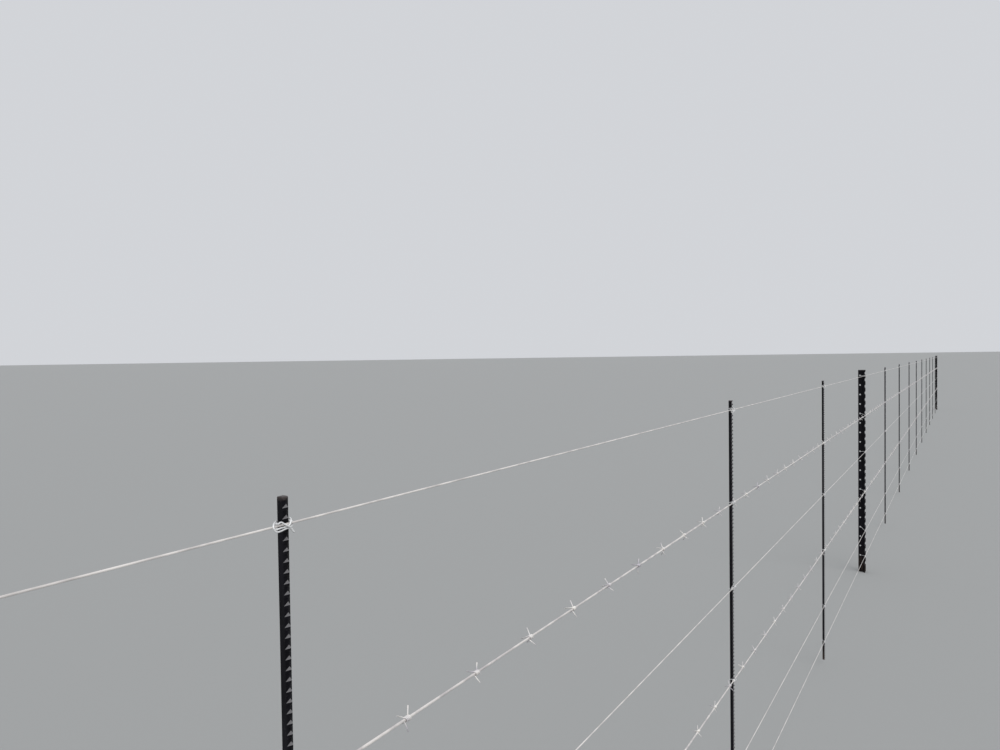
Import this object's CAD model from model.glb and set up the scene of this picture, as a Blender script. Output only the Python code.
import math
import random

import bmesh
import bpy
from mathutils import Matrix, Quaternion, Vector


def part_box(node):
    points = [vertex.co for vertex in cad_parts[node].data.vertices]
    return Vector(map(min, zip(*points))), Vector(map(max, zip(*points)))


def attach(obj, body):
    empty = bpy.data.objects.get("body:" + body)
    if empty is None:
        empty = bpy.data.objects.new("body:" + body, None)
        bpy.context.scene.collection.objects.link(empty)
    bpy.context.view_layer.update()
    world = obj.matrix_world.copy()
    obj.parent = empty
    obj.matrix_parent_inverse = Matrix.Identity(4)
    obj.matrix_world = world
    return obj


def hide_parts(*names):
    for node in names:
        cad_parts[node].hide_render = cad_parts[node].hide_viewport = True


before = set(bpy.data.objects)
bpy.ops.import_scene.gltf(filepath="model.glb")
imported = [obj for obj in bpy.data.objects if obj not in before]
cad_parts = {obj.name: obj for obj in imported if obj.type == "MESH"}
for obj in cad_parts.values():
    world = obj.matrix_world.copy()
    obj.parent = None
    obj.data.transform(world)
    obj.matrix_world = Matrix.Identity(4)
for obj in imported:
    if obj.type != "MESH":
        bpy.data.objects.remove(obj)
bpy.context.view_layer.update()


# Camera
# The eye stands beside the fence at head height and looks along it to the
# right. Its place and its angles were fitted to the holes, wires and droppers.
# The fit counted a pixel by its centre, so the lens is shifted by half a pixel.

eye = Vector((-5.5504, -0.5795, 1.5101))
heading = math.radians(32.281)
dip = math.radians(1.441)
lean = math.radians(-0.797)
focal_pixels = 733.0
photo_width = 1000
half_pixel = 0.5
sensor_width = 36.0

forward = Vector((math.cos(heading) * math.cos(dip), math.sin(heading) * math.cos(dip), -math.sin(dip)))
level_right = Vector((math.sin(heading), -math.cos(heading), 0))
level_up = level_right.cross(forward)
right = level_right * math.cos(lean) + level_up * math.sin(lean)
up = level_up * math.cos(lean) - level_right * math.sin(lean)
lens = bpy.data.cameras.new("photo_view")
lens.sensor_fit = "HORIZONTAL"
lens.sensor_width = sensor_width
lens.lens = focal_pixels / photo_width * sensor_width
lens.shift_x = -half_pixel / photo_width
lens.shift_y = half_pixel / photo_width
lens.clip_start = 0.02
lens.clip_end = 2000
camera = bpy.data.objects.new("photo_view", lens)
camera.matrix_world = Matrix.Translation(eye) @ Matrix((right, up, -forward)).transposed().to_4x4()
bpy.context.scene.collection.objects.link(camera)
bpy.context.scene.camera = camera


# Standards
# Rolled steel bars of Y section, sawn to length, punched with a row of holes
# in the stem and notched along both arms, then dipped in black bitumen.

class Value:
    """A number that changes over a surface. Plain sums on it add Math nodes."""

    def __init__(self, finish, socket):
        self.finish = finish
        self.socket = socket

    def sum(self, operation, other):
        return self.finish.node("Math", {"operation": operation}, {0: self, 1: other})

    def __add__(self, other):
        return self.sum("ADD", other)

    def __mul__(self, other):
        return self.sum("MULTIPLY", other)

    __radd__ = __add__
    __rmul__ = __mul__


class Finish:
    """One of the fence's surfaces: a material, and the nodes that give it its look."""

    def __init__(self, name):
        self.material = bpy.data.materials.new(name)
        self.material.use_nodes = True
        self.tree = self.material.node_tree

    def node(self, kind, settings, sockets, output=0):
        made = self.tree.nodes.new("ShaderNode" + kind)
        for name, value in settings.items():
            setattr(made, name, value)
        for name, value in sockets.items():
            self.fill(made.inputs[name], value)
        return Value(self, made.outputs[output])

    def fill(self, socket, value):
        if isinstance(value, Value):
            self.tree.links.new(value.socket, socket)
        elif socket.type == "RGBA":
            socket.default_value = (*value, 1)
        else:
            socket.default_value = value

    def surface(self, **values):
        for name, value in values.items():
            self.fill(self.tree.nodes["Principled BSDF"].inputs[name.replace("_", " ")], value)

    def stretched(self, scale):
        place = self.node("TexCoord", {}, {}, "Object")
        return self.node("Mapping", {}, {"Vector": place, "Scale": scale})

    def upward(self, vector):
        return self.node("SeparateXYZ", {}, {"Vector": vector}, "Z")

    def grain(self, place, scale, detail):
        return self.node("TexNoise", {}, {"Vector": place, "Scale": scale, "Detail": detail})

    def fade(self, value, start, end):
        return self.node(
            "MapRange", {"interpolation_type": "SMOOTHSTEP"},
            {"Value": value, "From Min": start, "From Max": end})

    def blend(self, share, first, second):
        mix_share, first_colour, second_colour, mixed_colour = 0, 6, 7, 2
        return self.node(
            "Mix", {"data_type": "RGBA"},
            {mix_share: share, first_colour: first, second_colour: second}, mixed_colour)

    def relief(self, height, depth):
        return self.node("Bump", {}, {"Height": height, "Distance": depth})


def bitumen(name, top, dust_colour, dust_cover):
    """Dull black dip over steel: lumpy, with runs, dust where it faces up and rust at the sawn top."""
    deep_black = (0.0024, 0.0022, 0.0036)
    worn_black = (0.0068, 0.0063, 0.0096)
    scuffed_grey = (0.07, 0.066, 0.076)
    rust_brown = (0.066, 0.054, 0.052)
    soil_brown = (0.10, 0.068, 0.045)
    scuff_cover = 0.22
    rust_cover = 0.9
    soil_cover = 0.4
    rust_ragged = 0.006
    soil_ragged = 0.15
    soil_low = 0.06
    soil_high = 0.26
    coat = Finish(name)
    place = coat.stretched((1, 1, 1))
    lumps = coat.grain(place, scale=400, detail=4)
    runs = coat.grain(coat.stretched((1, 1, 0.1)), scale=160, detail=3)
    height = coat.upward(place)
    facing = coat.upward(coat.node("NewGeometry", {}, {}, "Normal"))
    scuffs = coat.fade(lumps, start=0.60, end=0.74) * scuff_cover
    dust = coat.fade(facing, start=0.12, end=0.44) * dust_cover
    rust = coat.fade(height + lumps * rust_ragged, start=top - 0.002, end=top + 0.003) * rust_cover
    splashed = coat.fade(height + lumps * soil_ragged, start=soil_high, end=soil_low)
    soil = splashed * coat.fade(runs, start=0.38, end=0.64) * soil_cover
    black = coat.blend(coat.fade(runs, start=0.35, end=0.7), deep_black, worn_black)
    scuffed = coat.blend(scuffs, black, scuffed_grey)
    dusty = coat.blend(dust, scuffed, dust_colour)
    rusty = coat.blend(rust, dusty, rust_brown)
    coat.surface(
        Base_Color=coat.blend(soil, rusty, soil_brown),
        Specular_IOR_Level=0.12,
        Roughness=0.42 + lumps * 0.25 + soil * 0.3,
        Normal=coat.relief(lumps + runs, depth=0.0003))
    return coat.material


def dress(nodes, material):
    """Gives a finish to the CAD nodes that show as they are."""
    for node in nodes:
        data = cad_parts[node].data
        data.materials.clear()
        data.materials.append(material)


standards = ["standard_near_end", "standard_middle", "standard_far_end"]
standard_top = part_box("standard_middle")[1].z
dress(standards, bitumen("standard_bitumen", standard_top, dust_colour=(0.12, 0.118, 0.13), dust_cover=0.6))


# Droppers
# Slim steel bars rolled with a pointed ridge towards the wires, and dipped in
# the same bitumen. Teeth all along the ridge hold the wires at their heights.

def add_piece(name, mesh, material, node, rounded):
    """Turns a finished mesh into a piece that takes the place of a CAD node."""
    bmesh.ops.recalc_face_normals(mesh, faces=mesh.faces)
    for face in mesh.faces:
        face.smooth = rounded
    data = bpy.data.meshes.new(name)
    mesh.to_mesh(data)
    mesh.free()
    data.materials.append(material)
    piece = bpy.data.objects.new(name, data)
    bpy.context.scene.collection.objects.link(piece)
    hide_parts(node)
    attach(piece, "root")


def grow(mesh, edges):
    """Extrudes an open ring of edges and gives the new ring's corners and edges."""
    grown = bmesh.ops.extrude_edge_only(mesh, edges=edges)["geom"]
    corners = [item for item in grown if isinstance(item, bmesh.types.BMVert)]
    rim = [item for item in grown if isinstance(item, bmesh.types.BMEdge) and item.is_boundary]
    return corners, rim


dropper_count = 18
droppers = ["dropper_%02d" % number for number in range(1, dropper_count + 1)]
seat_gap = 0.0001
half_width = 0.0039
ridge_height = 0.0045
worn_edge = 0.0007
merge_distance = 0.00001

# A tooth has a crest between two slopes. The floor of the gap below it is
# longer at the bar's flanks, where it also starts lower.
tooth_pitch = 0.0108
tooth_slope = 0.0029
gap_floor = 0.0034
gap_flank = 0.0068
flank_drop = 0.0041
wire_above_gap = 0.0019
top_wire_low, top_wire_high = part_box("wire_1_plain")
dropper_low, dropper_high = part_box("dropper_01")
gap_y = top_wire_high.y + seat_gap
tooth_depth = gap_y - dropper_low.y
flank_y = dropper_low.y + ridge_height
gap_z = (top_wire_low.z + top_wire_high.z) / 2 - wire_above_gap
first_gap = gap_z - math.ceil((gap_z - dropper_low.z) / tooth_pitch) * tooth_pitch
flank_z = first_gap - flank_drop
teeth = math.ceil((dropper_high.z - flank_z) / tooth_pitch)

# The four stretches of a tooth, from the gap below it. Each has how far the
# bar's sides rise, how far its ridge rises and how far the ridge comes in.
floor_of_gap = (gap_flank, gap_floor, 0)
underside = (0, tooth_slope, -tooth_depth)
crest = (tooth_pitch - gap_flank, tooth_pitch - gap_floor - 2 * tooth_slope, 0)
top_facet = (0, tooth_slope, tooth_depth)

bar = bmesh.new()
ring = [
    bar.verts.new((-half_width, dropper_high.y, flank_z)),
    bar.verts.new((-half_width, flank_y, flank_z)),
    bar.verts.new((0, gap_y, first_gap)),
    bar.verts.new((half_width, flank_y, flank_z)),
    bar.verts.new((half_width, dropper_high.y, flank_z))]
rim = [bar.edges.new(pair) for pair in zip(ring, ring[1:] + ring[:1])]
for side_rise, ridge_rise, ridge_in in [floor_of_gap, underside, crest, top_facet] * teeth:
    corners, rim = grow(bar, rim)
    point = min(corners, key=lambda corner: corner.co.y)
    corners.remove(point)
    bmesh.ops.translate(bar, vec=(0, 0, side_rise), verts=corners)
    bmesh.ops.translate(bar, vec=(0, ridge_in, ridge_rise), verts=[point])
bmesh.ops.remove_doubles(bar, verts=bar.verts, dist=merge_distance)

# Both ends are cut square, the top one last, and the top's edge is worn round.
for end, way in [(dropper_low.z, -1), (dropper_high.z, 1)]:
    cut = bmesh.ops.bisect_plane(
        bar, geom=bar.verts[:] + bar.edges[:] + bar.faces[:], plane_co=(0, 0, end), plane_no=(0, 0, way),
        clear_outer=True)
    rim = [item for item in cut["geom_cut"] if isinstance(item, bmesh.types.BMEdge)]
    bmesh.ops.contextual_create(bar, geom=rim)
bmesh.ops.bevel(
    bar, geom=rim, offset=worn_edge, segments=2, profile=0.5, affect="EDGES", material=-1,
    clamp_overlap=True)
bar_mesh = bpy.data.meshes.new("bar")
bar.to_mesh(bar_mesh)
bar.free()

dropper_coat = bitumen(
    "dropper_bitumen", dropper_high.z, dust_colour=(0.165, 0.160, 0.165), dust_cover=0.9)
for name in droppers:
    low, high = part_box(name)
    ridged_bar = bmesh.new()
    ridged_bar.from_mesh(bar_mesh)
    bmesh.ops.translate(ridged_bar, vec=((low.x + high.x) / 2, 0, 0), verts=ridged_bar.verts)
    add_piece("ridged_" + name, ridged_bar, dropper_coat, name, rounded=False)
bpy.data.meshes.remove(bar_mesh)


# Plain line wires
# Drawn galvanised steel wire, strained from one end standard to the other.
# Its zinc is cloudy, with fine drawing lines along it.

def zinc(name, bright, dull, roughness):
    """Galvanised wire: a cloudy zinc skin over fine drawing lines."""
    skin = Finish(name)
    place = skin.stretched((1, 1, 1))
    clouds = skin.grain(place, scale=40, detail=5)
    specks = skin.grain(place, scale=1100, detail=2)
    lines = skin.grain(skin.stretched((0.02, 1, 1)), scale=2600, detail=2)
    cloudy = skin.fade(clouds + specks * 0.35, start=0.52, end=0.86)
    skin.surface(
        Base_Color=skin.blend(cloudy, bright, dull),
        Metallic=0.10 + clouds * 0.2,
        Roughness=roughness + clouds * 0.15,
        Normal=skin.relief(lines + specks, depth=0.00004))
    return skin.material


plain_wires = ["wire_1_plain", "wire_3_plain", "wire_5_plain", "wire_6_plain"]
plain_zinc = zinc("plain_wire_zinc", bright=(0.82, 0.78, 0.745), dull=(0.57, 0.54, 0.52), roughness=0.36)
dress(plain_wires, plain_zinc)


# Barbed wires
# One thick oval wire each, galvanised like the plain ones. It turns slowly
# about its own line, as it came off the coil.

def capped_ring(mesh, sides, radius, section):
    """Starts a wire with a capped ring and gives the ring's corners and edges."""
    corners = bmesh.ops.create_circle(
        mesh, cap_ends=True, segments=sides, radius=radius, matrix=section)["verts"]
    rim = list({edge for corner in corners for edge in corner.link_edges})
    return corners, rim


barbed_zinc = zinc("barbed_wire_zinc", bright=(0.77, 0.73, 0.695), dull=(0.53, 0.50, 0.49), roughness=0.38)
barb_pitch = 0.148
oval_sides = 14
oval_flatness = 0.82
oval_turn = math.radians(17)
upright_oval = Matrix.Rotation(math.pi / 2, 4, "Y") @ Matrix.Scale(oval_flatness, 4, (1, 0, 0))
for number in [2, 4]:
    line_low, line_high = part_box("wire_%d_barbed" % number)
    start = Vector((line_low.x, (line_low.y + line_high.y) / 2, (line_low.z + line_high.z) / 2))
    steps = round((line_high.x - line_low.x) / barb_pitch)
    stretch = (line_high.x - line_low.x) / steps
    wire = bmesh.new()
    ring, rim = capped_ring(
        wire, oval_sides, (line_high.z - line_low.z) / 2, Matrix.Translation(start) @ upright_oval)
    for step in range(steps):
        ring, rim = grow(wire, rim)
        bmesh.ops.rotate(wire, cent=start, matrix=Matrix.Rotation(oval_turn, 3, "X"), verts=ring)
        bmesh.ops.translate(wire, vec=(stretch, 0, 0), verts=ring)
    bmesh.ops.contextual_create(wire, geom=rim)
    add_piece(
        "oval_wire_%d" % number, wire, barbed_zinc, "wire_%d_barbed" % number, rounded=True)


# Barbs
# Each barb is two short galvanised wires, wound side by side almost twice
# round the line. Their four cut ends stand out crosswise.

def bend_wire(mesh, points, radius, sides, end_size=1.0):
    """Sweeps a round wire through the points, growing a ring from each to the next and closing the last."""
    ahead = [(after - before).normalized() for before, after in zip(points, points[1:])]
    between = [(first + second).normalized() for first, second in zip(ahead, ahead[1:])]
    ways = [ahead[0]] + between + [ahead[-1]]
    turn = Vector((0, 0, 1)).rotation_difference(ways[0])
    sizes = [end_size] + [1.0] * (len(points) - 2) + [end_size]
    section = Matrix.Translation(points[0]) @ turn.to_matrix().to_4x4() @ Matrix.Scale(sizes[0], 4)
    ring, rim = capped_ring(mesh, sides, radius, section)
    for point, before, way, size in zip(points[1:], ways, ways[1:], sizes[1:]):
        turn = before.rotation_difference(way) @ turn
        moved = Matrix.Translation(point) @ turn.to_matrix().to_4x4() @ Matrix.Scale(size, 4)
        ring, rim = grow(mesh, rim)
        bmesh.ops.transform(mesh, matrix=moved @ section.inverted(), verts=ring)
        section = moved
    bmesh.ops.contextual_create(mesh, geom=rim)


def gather(small, place, whole):
    """Moves a small mesh to its place on the line and adds it to the whole piece."""
    bmesh.ops.translate(small, vec=place, verts=small.verts)
    ready = bpy.data.meshes.new("small")
    small.to_mesh(ready)
    small.free()
    whole.from_mesh(ready)
    bpy.data.meshes.remove(ready)


def coil(centre, radius, angle, turns, pitch, steps):
    """Points of a coil about a line along X. Its first one lies at the angle from +Y."""
    points = []
    for step in range(round(abs(turns) * steps) + 1):
        turned = angle + math.copysign(step / steps, turns) * 2 * math.pi
        around = Vector((0, math.cos(turned), math.sin(turned))) * radius
        points.append(centre + around + Vector((pitch * step / steps, 0, 0)))
    return points


barb_zinc = zinc("barb_zinc", bright=(0.88, 0.85, 0.80), dull=(0.56, 0.53, 0.57), roughness=0.36)
barb_radius = 0.00105
barb_reach = 0.013
barb_turns = 1.875
wrap_pitch = 0.0044
barb_sides = 4
barb_steps = 8
cut_end_size = 0.85
barb_lean = 0.35
end_slant = 0.15
end_swing = 0.4
barb_length = barb_turns * wrap_pitch
barb_half = barb_length / 2 + barb_radius
tie_diameter = 0.0018
tie_length = 0.0054
chance = random.Random(11318)

# Where each of a barb's two wires starts: the angle round the line, and how
# much further along it than the first.
wire_starts = [(math.radians(53), 0), (math.radians(-58), 0.0008)]

# How far each barbed wire's first barb is from its near end, by the wire's number
first_barbs = {2: 0.094, 4: 0.042}

# The uprights' boxes, each with the extra room between the upright and its tie
uprights = [(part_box(name), 0.0) for name in droppers] + [(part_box(name), tie_diameter) for name in standards]


def clear_of_ties(place):
    """The place of a barb, moved along its wire where the barb would lie under a tie."""
    for (low, high), tie_room in uprights:
        upright = (low.x + high.x) / 2
        clear = (high.x - low.x) / 2 + tie_room + tie_length + seat_gap + barb_half + tie_diameter
        if abs(place - upright) < clear:
            return upright + math.copysign(clear, place - upright)
    return place


def wound_barb(line_radius):
    """One barb on a line through the origin, with a lean of its own and its ends bent at random."""
    lean_of_barb = chance.uniform(-barb_lean, barb_lean)
    one = bmesh.new()
    for angle, later in wire_starts:
        start = Vector((later - barb_length / 2, 0, 0))
        around = line_radius + barb_radius
        wound = coil(start, around, angle + lean_of_barb, barb_turns, wrap_pitch, barb_steps)
        ends = []
        for inner, outer in [(wound[1], wound[0]), (wound[-2], wound[-1])]:
            way = (outer - inner).normalized()
            way.x = chance.uniform(-end_slant, end_slant)
            way.rotate(Quaternion((1, 0, 0), chance.uniform(-end_swing, end_swing)))
            way.normalize()
            ends.append(outer + way * barb_reach)
        bend_wire(one, ends[:1] + wound + ends[1:], barb_radius, barb_sides, cut_end_size)
    return one


for number, first_barb in first_barbs.items():
    line_low, line_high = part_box("wire_%d_barbed" % number)
    line = Vector((0, (line_low.y + line_high.y) / 2, (line_low.z + line_high.z) / 2))
    line_radius = (line_high.z - line_low.z) / 2 * (1 + oval_flatness) / 2
    barbs = bmesh.new()
    place = line_low.x + first_barb
    while place < line_high.x - barb_half:
        gather(wound_barb(line_radius), line + Vector((clear_of_ties(place), 0, 0)), barbs)
        place += barb_pitch
    add_piece(
        "wound_barbs_%d" % number, barbs, barb_zinc, "barbs_on_wire_%d" % number, rounded=True)


# Ties
# Soft galvanised binding wire. On a plain wire it goes round the dropper in a
# loose double loop, and on a barbed wire it is coiled at both sides of it.
# At a standard it goes through the nearest hole to both sides of the post.

tie_zinc = zinc("tie_zinc", bright=(0.87, 0.87, 0.86), dull=(0.62, 0.62, 0.63), roughness=0.34)
tie_radius = tie_diameter / 2
tie_sides = 6
coil_pitch = 0.00185
coil_steps = 10
dropper_coil_turns = [2.25, 2.5, 2.75]
standard_coil_turns = 2.5
tail_droop = 0.1
hole_count = 20
first_hole_drop = 0.038
hole_pitch = 0.065
hole_edge = 0.012
hole_radius = 0.005
stem_half = 0.0018
millimetre = 0.001

# The shortest and the longest cut end at a dropper and at a standard, and how
# far one at a dropper can swing to the front and to the back.
dropper_tails = (0.003, 0.007)
standard_tails = (0.004, 0.009)
tail_swing = (-0.5, 0.2)

# The loose double loop's bends, in millimetres from where the wire crosses
# the dropper: along the wire, towards the dropper's back and up.
loop_bends = [
    (6.7, -2.0, -9.6), (4.3, -2.2, -6.6), (0.5, -2.8, -3.6), (-4.7, -3.0, -3.6), (-11.2, -3.0, -4.7),
    (-14.9, -3.0, -4.8), (-17.6, -3.0, -3.5), (-19.5, -2.7, 0.4), (-17.3, -0.8, 3.4), (-10.1, 4.2, 4.4),
    (-4.5, 9.2, 2.3), (-3.8, 10.8, 2.4), (0, 11.0, 2.6), (3.8, 10.8, 3.2), (4.5, 9.2, 3.8),
    (4.7, 3.0, 4.8), (4.4, 0, 4.2), (2.5, -2.3, 2.6), (0.4, -2.8, -0.6), (-4.8, -3.0, -1.7),
    (-10.5, -3.2, -1.7), (-14.6, -2.5, -2.2), (-16.2, 0.2, -2.2), (-16, 2.2, 0.3), (-14.8, 1.0, 2.7),
    (-13, -1.9, 2.5), (-11.8, -2.5, 3.4), (-9.5, -2.8, 3.6), (-6.9, -3.6, 1.5), (-3, -4.9, -1.0),
    (-0.4, -4.2, -2.6), (5.9, -0.2, -2.7), (8.6, 2.0, -0.8), (8.7, 4.2, 1.4), (6.4, 4.8, 1.2),
    (5.6, 3.2, -2.2), (6.0, 1.2, -5.6), (7.0, 0.2, -8.4)]
bend_steps = 3


def smooth_path(bends, steps):
    """Points of a smooth curve through the bends."""
    padded = [bends[0] * 2 - bends[1]] + bends + [bends[-1] * 2 - bends[-2]]
    points = []
    for before, start, end, after in zip(padded, padded[1:], padded[2:], padded[3:]):
        for step in range(steps):
            share = step / steps
            points.append(0.5 * (
                2 * start + (end - before) * share
                + (2 * before - 5 * start + 4 * end - after) * share ** 2
                + (3 * start - before - 3 * end + after) * share ** 3))
    return points + [bends[-1]]


def tail(point, way, lengths):
    """The cut end of a tie: a piece that bends off the coil, of a chance length between two."""
    length = chance.uniform(*lengths)
    return [point + way * length / 2, point + way * length - Vector((0, 0, tail_droop * length))]


def coils_both_sides(line_radius, inner, turns):
    """The turns on the line wire beside an upright, from outside to it and from it outwards."""
    around = line_radius + tie_radius + seat_gap
    left = coil(Vector((-inner, 0, 0)), around, math.pi / 2, turns, -coil_pitch, coil_steps)
    right = coil(Vector((inner, 0, 0)), around, -math.pi / 2, -turns, coil_pitch, coil_steps)
    return left[::-1], right


def half_turned(points):
    """The same path at the other side of the upright, turned half round and followed back."""
    return [Vector((-point.x, point.y, -point.z)) for point in reversed(points)]


def loose_loops(tie, along, over):
    """The double loop, turned to the left or right with along and up or down with over."""
    bends = [Vector((x * along, y, z * over)) * millimetre for x, y, z in loop_bends]
    bend_wire(tie, smooth_path(bends, bend_steps), tie_radius, tie_sides)


def coiled_tie(tie, line_radius, leg, back):
    """Round the back of a dropper, coiled on the line at both sides, and once across the front."""
    corner_run = 0.0012
    corner_depth = 0.0015
    corner_rise = 0.0005
    leg_rise = 0.0008
    left, right = coils_both_sides(line_radius, leg, chance.choice(dropper_coil_turns))
    corner = [Vector((-leg, back - corner_depth, leg_rise)), Vector((-leg + corner_run, back, corner_rise))]
    start = tail(left[0], Vector((-0.6, chance.uniform(*tail_swing), -0.6)), dropper_tails)
    end = tail(right[-1], Vector((0.6, chance.uniform(*tail_swing), -0.5)), dropper_tails)
    bend_wire(
        tie, start[::-1] + left + corner + half_turned(corner) + right + end, tie_radius, tie_sides)

    # The strand across the front, from over the left coil to under the right one
    front_run = 0.0035
    front_angle = math.radians(50)
    front_turns = 0.36
    front_pitch = 0.007
    around = line_radius + 3 * tie_radius + seat_gap
    front = coil(Vector((-leg - front_run, 0, 0)), around, front_angle, front_turns, front_pitch, coil_steps)
    bend_wire(tie, front + half_turned(front), tie_radius, tie_sides)


def standard_tie(tie, line_radius, leg, hole_y, hole_z):
    """Through a hole of the stem, past both arms and coiled on the line at both sides."""
    past_leg = 0.003
    bend_run = 0.0022
    crown_run = 0.0006
    crown_drop = 0.0002
    slope = (hole_y - line_radius) / (leg + past_leg)
    bend = hole_y - hole_radius + seat_gap + stem_half * slope + tie_radius * math.hypot(1, slope)
    left, right = coils_both_sides(line_radius, leg, standard_coil_turns)
    through = [
        Vector((-bend_run, bend - bend_run * slope, hole_z)),
        Vector((-crown_run, bend - crown_drop, hole_z)),
        Vector((crown_run, bend - crown_drop, hole_z)),
        Vector((bend_run, bend - bend_run * slope, hole_z))]
    start = tail(left[0], Vector((-0.6, -0.3, -0.6)), standard_tails)
    end = tail(right[-1], Vector((0.6, 0.2, 0.5)), standard_tails)
    bend_wire(tie, start[::-1] + left + through + right + end, tie_radius, tie_sides)


# The nearest dropper's loops on the top wire are turned as in the photograph,
# and the others by chance.
nearest_dropper = "dropper_07"
top_wire = "wire_1_plain"
line_wires = [
    "wire_1_plain", "wire_2_barbed", "wire_3_plain", "wire_4_barbed", "wire_5_plain", "wire_6_plain"]
for number, node in enumerate(line_wires, start=1):
    line_low, line_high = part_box(node)
    line_radius = (line_high.z - line_low.z) / 2
    line_y = (line_low.y + line_high.y) / 2
    line_z = (line_low.z + line_high.z) / 2
    ties = bmesh.new()
    for name in droppers:
        low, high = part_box(name)
        tie = bmesh.new()
        if "barbed" in node:
            leg = (high.x - low.x) / 2 + seat_gap + tie_radius
            coiled_tie(tie, line_radius, leg, high.y + seat_gap + tie_radius - line_y)
        elif node == top_wire and name == nearest_dropper:
            loose_loops(tie, along=1, over=1)
        else:
            loose_loops(tie, along=chance.choice([-1, 1]), over=chance.choice([-1, 1]))
        gather(tie, Vector(((low.x + high.x) / 2, line_y, line_z)), ties)
    for name in standards:
        low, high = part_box(name)
        first_hole = high.z - first_hole_drop
        nearest = min(hole_count - 1, max(0, round((first_hole - line_z) / hole_pitch)))
        hole_y = high.y - hole_edge - line_y
        hole_z = first_hole - nearest * hole_pitch - line_z
        tie = bmesh.new()
        standard_tie(tie, line_radius, (high.x - low.x) / 2 + 3 * tie_radius, hole_y, hole_z)
        gather(tie, Vector(((low.x + high.x) / 2, line_y, line_z)), ties)
    add_piece(
        "binding_wire_%d" % number, ties, tie_zinc, "ties_on_wire_%d" % number, rounded=True)


# Floor and light
# A plain pale floor at the foot of the standards, under an even pale light
# with a soft sun in it.

floor_sides = 96
floor_radius = 900
floor_paint = Finish("floor_paint")
floor_paint.surface(Base_Color=(0.34, 0.345, 0.34), Roughness=0.95)
disc = bmesh.new()
bmesh.ops.create_circle(disc, cap_ends=True, segments=floor_sides, radius=floor_radius)
floor_mesh = bpy.data.meshes.new("floor")
disc.to_mesh(floor_mesh)
disc.free()
floor_mesh.materials.append(floor_paint.material)
floor = bpy.data.objects.new("floor", floor_mesh)
bpy.context.scene.collection.objects.link(floor)

pale_light = bpy.data.worlds.new("pale_light")
pale_light.use_nodes = True
background = pale_light.node_tree.nodes["Background"]
background.inputs["Color"].default_value = (0.86, 0.88, 0.92, 1)
background.inputs["Strength"].default_value = 0.75
bpy.context.scene.world = pale_light

sun_way = Vector((0.40, 0.58, -0.71))
sun = bpy.data.lights.new("soft_sun", "SUN")
sun.energy = 1.6
sun.angle = math.radians(60)
soft_sun = bpy.data.objects.new("soft_sun", sun)
soft_sun.rotation_euler = sun_way.to_track_quat("-Z", "Y").to_euler()
bpy.context.scene.collection.objects.link(soft_sun)
bpy.context.scene.view_settings.view_transform = "Standard"
